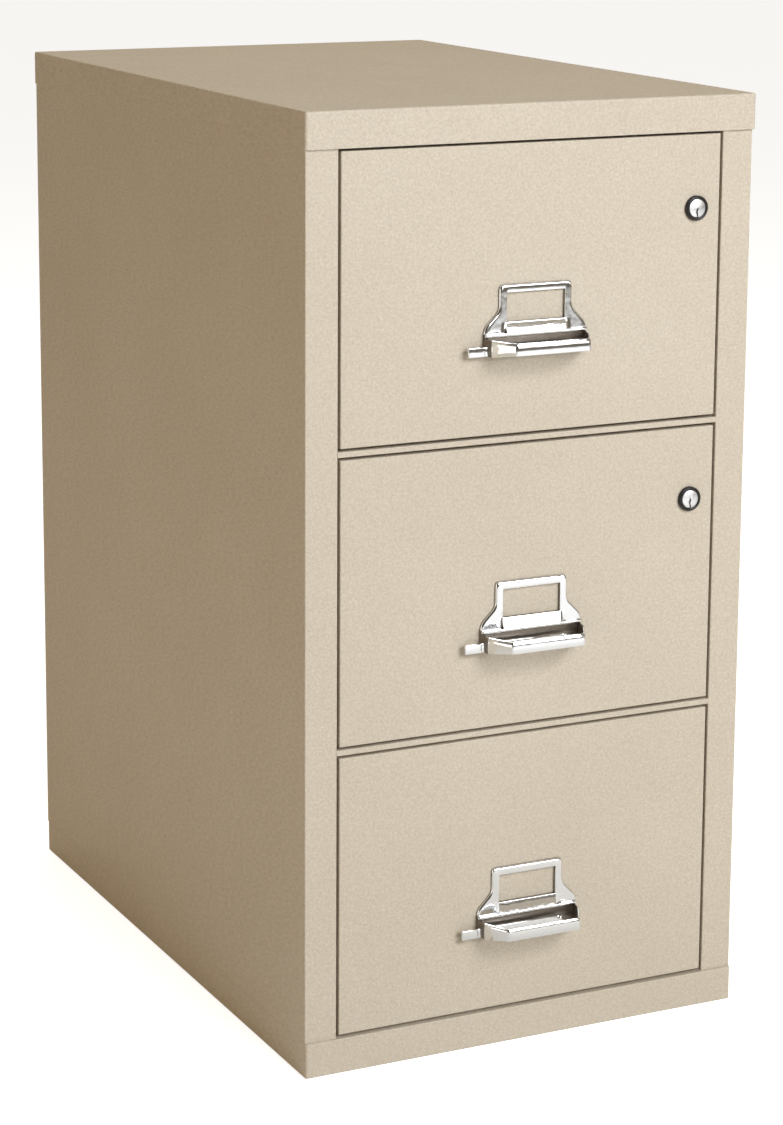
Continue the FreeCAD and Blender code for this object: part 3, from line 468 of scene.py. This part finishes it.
def plate_proud(x, drop):
    """How far the plate's face stands out of the drawer at a place on it."""
    half, growth = half_width(drop)
    side = (half - abs(x)) / math.hypot(1.0, growth)
    into_corner = abs(x) - (PLATE_HALF_TOP - PLATE_CORNER)
    edge = min(side, drop)
    if drop < PLATE_CORNER and into_corner > 0.0:
        edge = PLATE_CORNER - math.hypot(into_corner, PLATE_CORNER - drop)
    beside = max(abs(x) - WINDOW_HALF, 0.0)
    beyond = max(WINDOW_TOP - drop, drop - WINDOW_LOW, 0.0)
    run = min(max((drop - RAMP_START) / (RAMP_END - RAMP_START), 0.0), 1.0)
    between = 1.0 - smooth((abs(x) - WINDOW_HALF) / RAMP_SIDE)
    ramp = RAMP_RISE * (RAMP_STRAIGHT * run + RAMP_HOLLOW * run * run) * between
    proud = PLATE_PROUD + ramp
    if drop > RAMP_END:
        across = min((drop - RAMP_END) / (PLATE_HEIGHT - RAMP_END), 1.0)
        proud = LIP_PROUD + LIP_BEAD * math.sin(math.pi * across) ** LIP_POWER
    fall = rounding(edge, PLATE_ROUND) + rounding(math.hypot(beside, beyond), WINDOW_ROUND)
    return max(proud - fall, THINNEST)


def plate_rows():
    """Distances below the plate's top: close together at the edges, the cove and the lip."""
    window = WINDOW_LOW - WINDOW_TOP
    first = WINDOW_LOW + WINDOW_ROUND
    lip = PLATE_HEIGHT - RAMP_END
    turns = [math.pi * i / LIP_ROWS for i in range(1, LIP_ROWS + 1)]
    rows = [PLATE_ROUND * step for step in EDGE_LADDER]
    rows += [WINDOW_TOP - WINDOW_ROUND * step for step in reversed(EDGE_LADDER)]
    rows += [WINDOW_TOP + window * i / WINDOW_ROWS for i in range(1, WINDOW_ROWS)]
    rows += [WINDOW_LOW + WINDOW_ROUND * step for step in EDGE_LADDER]
    rows += [first + (RAMP_END - first) * i / RAMP_ROWS for i in range(1, RAMP_ROWS + 1)]
    return rows + [RAMP_END + lip * (1.0 - math.cos(turn)) / 2 for turn in turns]


def plate_columns(drop):
    """The right half's places across the plate at a row, from its middle to its outer edge."""
    half, growth = half_width(drop)
    stretch = math.hypot(1.0, growth)
    columns = [WINDOW_HALF * i / WINDOW_COLUMNS for i in range(WINDOW_COLUMNS)]
    columns += [WINDOW_HALF + WINDOW_ROUND * step for step in EDGE_LADDER]
    outer = [half - PLATE_ROUND * stretch * step for step in reversed(EDGE_LADDER)]
    start = columns[-1]
    gap = outer[0] - start
    columns += [start + gap * i / BORDER_COLUMNS for i in range(1, BORDER_COLUMNS)]
    return columns + outer


def around(top, low, left, right):
    """The (row, column) places round a rectangle of a grid, once each."""
    loop = [(top, j) for j in range(left, right + 1)]
    loop += [(i, right) for i in range(top + 1, low + 1)]
    loop += [(low, j) for j in range(right - 1, left - 1, -1)]
    return loop + [(i, left) for i in range(low - 1, top, -1)]


def plate(mesh, top):
    """The label plate: rounded rims, an open window, a cove under it and the lip at its foot."""
    drops = plate_rows()
    fronts = []
    backs = []
    for drop in drops:
        right = plate_columns(drop)
        across = [-x for x in reversed(right[1:])] + right
        fronts.append([mesh.verts.new((x, FRONT_Y - plate_proud(x, drop), top - drop)) for x in across])
        backs.append([mesh.verts.new((x, FRONT_Y, top - drop)) for x in across])
    last_row = len(drops) - 1
    last_column = len(fronts[0]) - 1
    middle = last_column // 2

    def solid(i, j):
        centre = abs(j + 0.5 - middle)
        between = (drops[i] + drops[i + 1]) / 2
        return centre > WINDOW_COLUMNS or not WINDOW_TOP < between < WINDOW_LOW

    grid_faces(mesh, fronts, keep=solid)
    grid_faces(mesh, backs, keep=solid)
    rim = around(0, last_row, 0, last_column)
    hole = around(
        drops.index(WINDOW_TOP), drops.index(WINDOW_LOW), middle - WINDOW_COLUMNS, middle + WINDOW_COLUMNS,
    )
    # The outer rim and window walls get the dull plating, dark with painted shade.
    for loop in (rim, hole):
        front = [fronts[i][j] for i, j in loop]
        back = [backs[i][j] for i, j in loop]
        grid_faces(mesh, [front, back], closed=True, finish=DULL)


def rounded_path(points, radii, steps=8):
    """The places along a polyline whose inner corners are arcs."""
    path = [points[0]]
    for i in range(1, len(points) - 1):
        corner = Vector(points[i])
        back = (Vector(points[i - 1]) - corner).normalized()
        ahead = (Vector(points[i + 1]) - corner).normalized()
        half_angle = back.angle(ahead) / 2
        reach = radii[i - 1] / math.tan(half_angle)
        centre = corner + (back + ahead).normalized() * (radii[i - 1] / math.sin(half_angle))
        start = corner + back * reach - centre
        end = corner + ahead * reach - centre
        turn = start.angle_signed(end)
        for j in range(steps + 1):
            spoke = start.copy()
            spoke.rotate(Matrix.Rotation(-turn * j / steps, 2))
            path.append(tuple(centre + spoke))
    path.append(points[-1])
    return path


def strap_section(height):
    """The strap's wall cut across: (inward, up) from its outer foot, crowned, with a bevelled top rim."""
    edge = STRAP_EDGE
    inner = GRIP_WALL - edge
    rim = height - STRAP_RIM
    crowned = rim - edge - STRAP_GROOVE
    shares = [i / STRAP_ROWS for i in range(STRAP_ROWS + 1)]
    quarter = [math.pi / 2 * i / ROUND_STEPS for i in range(ROUND_STEPS + 1)]
    section = [(-STRAP_CROWN * arch(share), edge + crowned * share) for share in shares]
    section += [(STRAP_GROOVE, rim), (-STRAP_GROOVE, rim + STRAP_GROOVE)]
    section += [(inset, height - down) for inset, down in STRAP_BEVEL]
    section.append((inner, height))
    section += [(inner + edge * math.sin(a), height - edge + edge * math.cos(a)) for a in quarter[1:]]
    section += [(inner + edge * math.cos(a), edge - edge * math.sin(a)) for a in quarter]
    section += [(edge - edge * math.sin(a), edge - edge * math.cos(a)) for a in quarter[:-1]]
    return section


def grip_plan():
    """The outer line of the strap from above, (x, distance in front), in short steps, its wings bulging."""
    bend = PLATE_HALF_BOTTOM - GRIP_LEAN
    right = [(PLATE_HALF_BOTTOM, 0.0), (bend, GRIP_BEND), (GRIP_HALF_FRONT, GRIP_PROUD)]
    turns = right + [(-x, proud) for x, proud in reversed(right)]
    path = rounded_path(turns, (GRIP_ROOT_CORNER, GRIP_CORNER, GRIP_CORNER, GRIP_ROOT_CORNER))
    plan = [path[0]]
    for place in path[1:]:
        start = plan[-1]
        run = Vector(place) - Vector(start)
        parts = max(1, math.ceil(run.length / GRIP_STEP))
        bulge = run.orthogonal().normalized() * WING_BULGE
        if bulge.dot(Vector((place[0] + start[0], place[1] + start[1] - GRIP_PROUD))) <= 0.0:
            bulge = -bulge
        is_wing = abs(run.y) > WING_LEAST_RISE and run.length > WING_LEAST_LENGTH
        for i in range(1, parts + 1):
            share = i / parts
            swell = arch(share) if is_wing else 0.0
            plan.append(tuple(a + (b - a) * share + push * swell for a, b, push in zip(start, place, bulge)))
    return plan


def grip(mesh, top):
    """The pull strap: a wall that runs out from the plate's foot, across the front and back."""
    plan = grip_plan()
    rows = []
    for i, (x, proud) in enumerate(plan):
        before = Vector(plan[max(i - 1, 0)])
        after = Vector(plan[min(i + 1, len(plan) - 1)])
        along = (after - before).normalized()
        inward = Vector((-along.y, along.x))
        if inward.dot(Vector((-x, -proud + GRIP_INSIDE))) < 0.0:
            inward = -inward
        share = smooth((proud - GRIP_BEND) / (GRIP_PROUD - GRIP_BEND))
        low = GRIP_LOW_REAR + (GRIP_LOW_FRONT - GRIP_LOW_REAR) * share
        high = GRIP_TOP - ROOT_RISE * (1.0 - smooth(proud / ROOT_RUN))
        ring = []
        for inset, up in strap_section(low - high):
            spot = Vector((x, proud)) + inward * inset
            ring.append(mesh.verts.new((spot.x, FRONT_Y - max(spot.y, 0.0), top - low + up)))
        rows.append(ring)
    for i in range(len(rows) - 1):
        # The strap's root by the drawer gets the dull plating, dark with painted shade.
        at_root = max(plan[i][1], plan[i + 1][1]) < GRIP_BEND
        grid_faces(mesh, rows[i:i + 2], closed=True, finish=DULL if at_root else BRIGHT)
    mesh.faces.new(rows[0])
    mesh.faces.new(list(reversed(rows[-1])))


def handle(k):
    """The label plate and grip, and the casting behind them with the latch's slot through it; the casting's
    dark plating is painted shade.
    """
    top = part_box(f"handle_{k}")[1].z
    mesh = bmesh.new()
    plate(mesh, top)
    grip(mesh, top)
    add_piece(f"pull_handle_{k}", mesh, "chrome", f"drawer_{k}", f"handle_{k}",
              sharp_angle=35.0, finishes=(MATERIALS["chrome"], SHADED_DULL_CHROME))
    # The back plate under the lip: its dark plating is painted shade in the gap behind the grip.
    mesh = bmesh.new()
    slot_low = top - LATCH_DROP - SLOT_HALF
    slot_high = top - LATCH_DROP + SLOT_HALF
    left = -PLATE_HALF_BOTTOM + GRIP_WALL / 2
    low = top - GRIP_LOW_REAR
    high = top - PLATE_HEIGHT + LIP_LAP
    face = FRONT_Y - BACK_PROUD
    for z0, z1 in ((low, slot_low), (slot_high, high)):
        rounded_block(mesh, left, -left, face, FRONT_Y, z0, z1, BACK_ROUND, 2)
    for x0, x1 in ((left, SLOT_ENDS[0]), (SLOT_ENDS[1], -left)):
        rounded_block(mesh, x0, x1, face, FRONT_Y, slot_low - BACK_LAP, slot_high + BACK_LAP, BACK_ROUND, 2)
    add_piece(f"handle_back_{k}", mesh, "chrome", f"drawer_{k}", finishes=(SHADED_DULL_CHROME,))


# ---- thumb latch --------------------------------------------------------------------------------
BAR_FACE = 9.6 * MM
BAR_BACK = 6.4 * MM
BAR_ENDS = (-66.0 * MM, 41.0 * MM)
BAR_HALF = 5.0 * MM
BAR_ROUND = 0.7 * MM
TAB_FACE = 10.2 * MM
TAB_ENDS = (-82.0 * MM, -62.5 * MM)
TAB_HALF = 5.4 * MM
TAB_ROUND = 1.1 * MM
PIN_ACROSS = 37.5 * MM
PIN_UP = 2.2 * MM
PIN = ((0.02, 8.0), (2.4, 8.0), (2.4, 10.6), (2.2, 11.3), (1.6, 11.8), (0.8, 12.05), (0.02, 12.1))
STUD = ((0.02, 7.0), (3.0, 7.0), (3.0, -14.0), (0.02, -14.0))
PIN_SIDES = 32
SPRING_WIRE = 0.5 * MM
SPRING_TURNS = 8
SPRING_STEPS = 24
SPRING_SIDES = 8


def thumb_latch(k):
    """The sliding bar behind the grip, with its thumb tab, end pin and the stud into the drawer."""
    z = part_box(f"handle_{k}")[1].z - LATCH_DROP
    back = FRONT_Y - BAR_BACK
    mesh = bmesh.new()
    rounded_block(mesh, *BAR_ENDS, FRONT_Y - BAR_FACE, back, z - BAR_HALF, z + BAR_HALF, BAR_ROUND)
    rounded_block(mesh, *TAB_ENDS, FRONT_Y - TAB_FACE, back, z - TAB_HALF, z + TAB_HALF, TAB_ROUND, 4)
    lathe(mesh, PIN, (PIN_ACROSS, z + PIN_UP), PIN_SIDES)
    lathe(mesh, STUD, (0.0, z), PIN_SIDES)
    add_piece(f"latch_slide_{k}", mesh, "chrome", f"latch_{k}", f"thumb_latch_{k}")


def return_spring(k):
    """The latch's coil spring, in place of the CAD spring and attached to no body."""
    low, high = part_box(f"latch_spring_{k}")
    coil = (high.z - low.z) / 2 - SPRING_WIRE
    start = low.x + SPRING_WIRE
    run = high.x - low.x - 2 * SPRING_WIRE
    count = SPRING_TURNS * SPRING_STEPS
    around_wire = [math.tau * j / SPRING_SIDES for j in range(SPRING_SIDES)]
    mesh = bmesh.new()
    rows = []
    for i in range(count + 1):
        angle = math.tau * i / SPRING_STEPS
        out = Vector((0.0, math.cos(angle), math.sin(angle)))
        middle = Vector((start + run * i / count, (low.y + high.y) / 2, (low.z + high.z) / 2)) + out * coil
        along = Vector((run / SPRING_TURNS, 0.0, 0.0)) + Vector((0.0, -out.z, out.y)) * math.tau * coil
        side = along.normalized().cross(out)
        spokes = [(out * math.cos(a) + side * math.sin(a)) * SPRING_WIRE for a in around_wire]
        rows.append([mesh.verts.new(middle + spoke) for spoke in spokes])
    grid_faces(mesh, rows, closed=True)
    mesh.faces.new(rows[0])
    mesh.faces.new(list(reversed(rows[-1])))
    spring = add_piece(f"return_spring_{k}", mesh, "zinc_steel", None, f"latch_spring_{k}")
    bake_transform(spring)


# ---- lock ---------------------------------------------------------------------------------------
# The bezel, the plug and its rear are in mm: (radius, distance in front). The keyway's sides are (x, z).
BEZEL = (
    (13.5, 0.0), (13.5, 2.6), (13.42, 3.2), (13.15, 3.75), (12.75, 4.15), (12.3, 4.35), (11.8, 4.4),
    (11.1, 4.35), (10.5, 4.15), (10.05, 3.8), (9.85, 3.3), (9.8, 2.8), (9.8, -13.0), (11.8, -13.0),
    (11.8, 0.0),
)
BEZEL_SIDES = 96
KEYWAY_LEFT = (
    (-0.75, -9.7), (-0.55, -7.0), (-1.7, -5.2), (-1.75, -3.6), (-1.0, -2.2), (-1.15, -0.6), (-0.8, 0.5),
)
KEYWAY_RIGHT = ((0.8, 0.5), (1.2, -0.6), (1.1, -2.2), (0.2, -3.4), (0.15, -4.6), (1.0, -6.4), (1.0, -9.68))
PLUG_RADIUS = 9.73
PLUG_SIDES = 80
PLUG_LEVELS = ((-9.0, 1.0), (3.55, 1.0), (3.85, 0.985), (3.95, 0.96))
PLUG_REAR = (
    (0.02, -9.0), (9.73, -9.0), (9.73, -13.4), (5.0, -13.4), (5.0, -20.5), (8.0, -20.5), (8.0, -22.5),
    (0.02, -22.5),
)
REAR_SIDES = 48


def lock_middle(k):
    """The (x, z) of a lock's axis."""
    low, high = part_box(f"lock_housing_{k}")
    return (low.x + high.x) / 2, (low.z + high.z) / 2


def lock_bezel(k):
    """The black ring round the lock, with a dished lip, on the barrel that goes through the pan."""
    mesh = bmesh.new()
    lathe(mesh, BEZEL, lock_middle(k), BEZEL_SIDES)
    add_piece(f"lock_ring_{k}", mesh, "lock_bezel", f"drawer_{k}", f"lock_housing_{k}")


def lock_face(k):
    """The plug that the key turns, with a warded keyway from its middle to its lower edge."""
    x0, z0 = lock_middle(k)
    start_x, start_z = KEYWAY_RIGHT[-1]
    end_x, end_z = KEYWAY_LEFT[0]
    start = math.atan2(start_z, start_x)
    end = math.atan2(end_z, end_x) + math.tau
    outline = [*KEYWAY_LEFT, *KEYWAY_RIGHT]
    for i in range(1, PLUG_SIDES):
        angle = start + (end - start) * i / PLUG_SIDES
        outline.append((PLUG_RADIUS * math.cos(angle), PLUG_RADIUS * math.sin(angle)))
    mesh = bmesh.new()
    rings = []
    for proud, size in PLUG_LEVELS:
        y = FRONT_Y - proud * MM
        rings.append([mesh.verts.new((x0 + x * size * MM, y, z0 + z * size * MM)) for x, z in outline])
    grid_faces(mesh, rings, closed=True)
    face = mesh.faces.new(rings[-1])
    back = mesh.faces.new(rings[0])
    bmesh.ops.triangulate(mesh, faces=[face, back])
    lathe(mesh, PLUG_REAR, (x0, z0), REAR_SIDES)
    add_piece(f"key_plug_{k}", mesh, "lock_face", f"lock_plug_{k}", f"lock_plug_{k}")


# ---- camera, floor and light --------------------------------------------------------------------
VIEW_YAW = 26.10
VIEW_PITCH = 10.95
VIEW_ROLL = 0.35
CAMERA_PLACE = (-1.5165, -3.1548, 1.3232)
SENSOR = 36.0
LENS = 97.66
SHIFT_OF_VIEW = -0.15
FARTHEST_SEEN = 60.0
FLOOR_HALF = 40.0
FLOOR_GAP = 0.5 * MM
FLOOR_GLOW = 0.78
FLOOR_PALE = (0.90, 0.90, 0.90)
FLOOR_SHADE = (0.88, 0.88, 0.88)
WALL_WHITE = (0.95, 0.95, 0.95)
ROOM_LOW = (0.50, 0.44, 0.36)
ROOM_HIGH = (0.10, 0.088, 0.072)
ROOM_DARK = (0.04, 0.032, 0.026)
ROOM_TOP = 0.75
DARK_SIDE = (-0.52, -0.85, 0.08)
DARK_EDGE = 0.72
DARK_CORE = 0.93
WHITE = (1.0, 1.0, 1.0)


def camera():
    """A long lens at the left in front of the cabinet, looking a little down; the angles are in degrees."""
    yaw = math.radians(VIEW_YAW)
    pitch = math.radians(VIEW_PITCH)
    forward = Vector((math.sin(yaw) * math.cos(pitch), math.cos(yaw) * math.cos(pitch), -math.sin(pitch)))
    level = Vector((math.cos(yaw), -math.sin(yaw), 0.0))
    up = level.cross(forward)
    right = level * math.cos(math.radians(VIEW_ROLL)) + up * math.sin(math.radians(VIEW_ROLL))
    up = right.cross(forward)
    data = bpy.data.cameras.new("camera")
    data.sensor_width = SENSOR
    data.lens = LENS
    data.shift_y = SHIFT_OF_VIEW
    data.clip_end = FARTHEST_SEEN
    eye = bpy.data.objects.new("camera", data)
    turn = Matrix((right, up, -forward)).transposed()
    eye.matrix_world = Matrix.Translation(CAMERA_PLACE) @ turn.to_4x4()
    bpy.context.scene.collection.objects.link(eye)
    bpy.context.scene.camera = eye


def floor():
    """A large pale floor just under the base."""
    level = cad_box[0].z - FLOOR_GAP
    square = ((-1, -1), (1, -1), (1, 1), (-1, 1))
    data = bpy.data.meshes.new("floor")
    data.from_pydata([(x * FLOOR_HALF, y * FLOOR_HALF, level) for x, y in square], [], [(0, 1, 2, 3)])
    ground = bpy.data.objects.new("floor", data)
    material, tree, shader, place = new_material("pale_floor")
    soft = noise(tree, place, size=1.5)
    colour = blend_colours(tree, soft, FLOOR_PALE, FLOOR_SHADE)
    tree.links.new(colour, shader.inputs["Base Color"])
    shader.inputs["Roughness"].default_value = 0.9
    shader.inputs["Specular IOR Level"].default_value = 0.1
    glow = tree.nodes.new("ShaderNodeLightPath").outputs["Is Camera Ray"]
    shader.inputs["Emission Color"].default_value = (*WHITE, 1.0)
    tree.links.new(spread(tree, glow, 0.0, 1.0, 0.0, FLOOR_GLOW), shader.inputs["Emission Strength"])
    data.materials.append(material)
    bpy.context.scene.collection.objects.link(ground)


def soft_light(name, place, target, size, power, colour, lights=True, reflected=True):
    """A rectangle of light in watts; it may be left out of what lights matt paint or what chrome reflects."""
    data = bpy.data.lights.new(name, "AREA")
    data.shape = "RECTANGLE"
    data.size, data.size_y = size
    data.energy = power
    data.color = colour
    lamp = bpy.data.objects.new(name, data)
    aim = Vector(target) - Vector(place)
    lamp.matrix_world = Matrix.Translation(place) @ aim.to_track_quat("-Z", "Y").to_matrix().to_4x4()
    lamp.visible_camera = False
    lamp.visible_diffuse = lights
    lamp.visible_glossy = reflected
    bpy.context.scene.collection.objects.link(lamp)


def studio_world():
    """A dim warm room, darker overhead than near the horizon, with a pale wall behind the cabinet."""
    world = bpy.data.worlds.new("studio")
    world.use_nodes = True
    tree = world.node_tree
    back = tree.nodes["Background"]
    direction = tree.nodes.new("ShaderNodeTexCoord").outputs["Generated"]
    parts = tree.nodes.new("ShaderNodeSeparateXYZ")
    tree.links.new(direction, parts.inputs["Vector"])
    height = spread(tree, parts.outputs["Z"], 0.0, ROOM_TOP, 0.0, 1.0)
    shade = blend_colours(tree, height, ROOM_LOW, ROOM_HIGH)
    toward = tree.nodes.new("ShaderNodeVectorMath")
    toward.operation = "DOT_PRODUCT"
    toward.inputs[1].default_value = DARK_SIDE
    tree.links.new(direction, toward.inputs[0])
    dark = spread(tree, toward.outputs["Value"], DARK_EDGE, DARK_CORE, 0.0, 1.0)
    room = blend_colours(tree, dark, shade, ROOM_DARK)
    seen = tree.nodes.new("ShaderNodeLightPath").outputs["Is Camera Ray"]
    tree.links.new(blend_colours(tree, seen, room, WALL_WHITE), back.inputs["Color"])
    back.inputs["Strength"].default_value = 1.0
    bpy.context.scene.world = world


def lighting():
    """A cool key in front, warm fills at the left and above, and two white cards for the chrome."""
    soft_light("key", place=(1.0, -4.1, 2.7), target=(0.0, -0.4, 0.8), size=(2.6, 2.0), power=185.0,
               colour=(0.93, 0.965, 1.0))
    soft_light("front_card", place=(2.3, -5.6, 1.15), target=(0.0, -0.4, 0.6), size=(3.8, 0.9), power=15.0,
               colour=WHITE)
    soft_light("side_fill", place=(-4.6, -0.7, 1.15), target=(0.0, -0.1, 0.5), size=(3.0, 2.2), power=35.5,
               colour=(1.0, 0.715, 0.35), reflected=False)
    soft_light("left_card", place=(-3.2, -0.6, 0.55), target=(0.0, -0.6, 0.55), size=(2.4, 1.4), power=14.0,
               colour=WHITE, lights=False)
    soft_light("top_fill", place=(0.6, 1.7, 4.2), target=(0.0, 0.1, 1.0), size=(3.0, 3.0), power=68.0,
               colour=(1.0, 0.89, 0.71))
    studio_world()
    bpy.context.scene.view_settings.view_transform = "Standard"


dress_nodes()
for k in DRAWERS:
    handle(k)
    thumb_latch(k)
    return_spring(k)
for k in LOCKED_DRAWERS:
    lock_bezel(k)
    lock_face(k)
camera()
floor()
lighting()
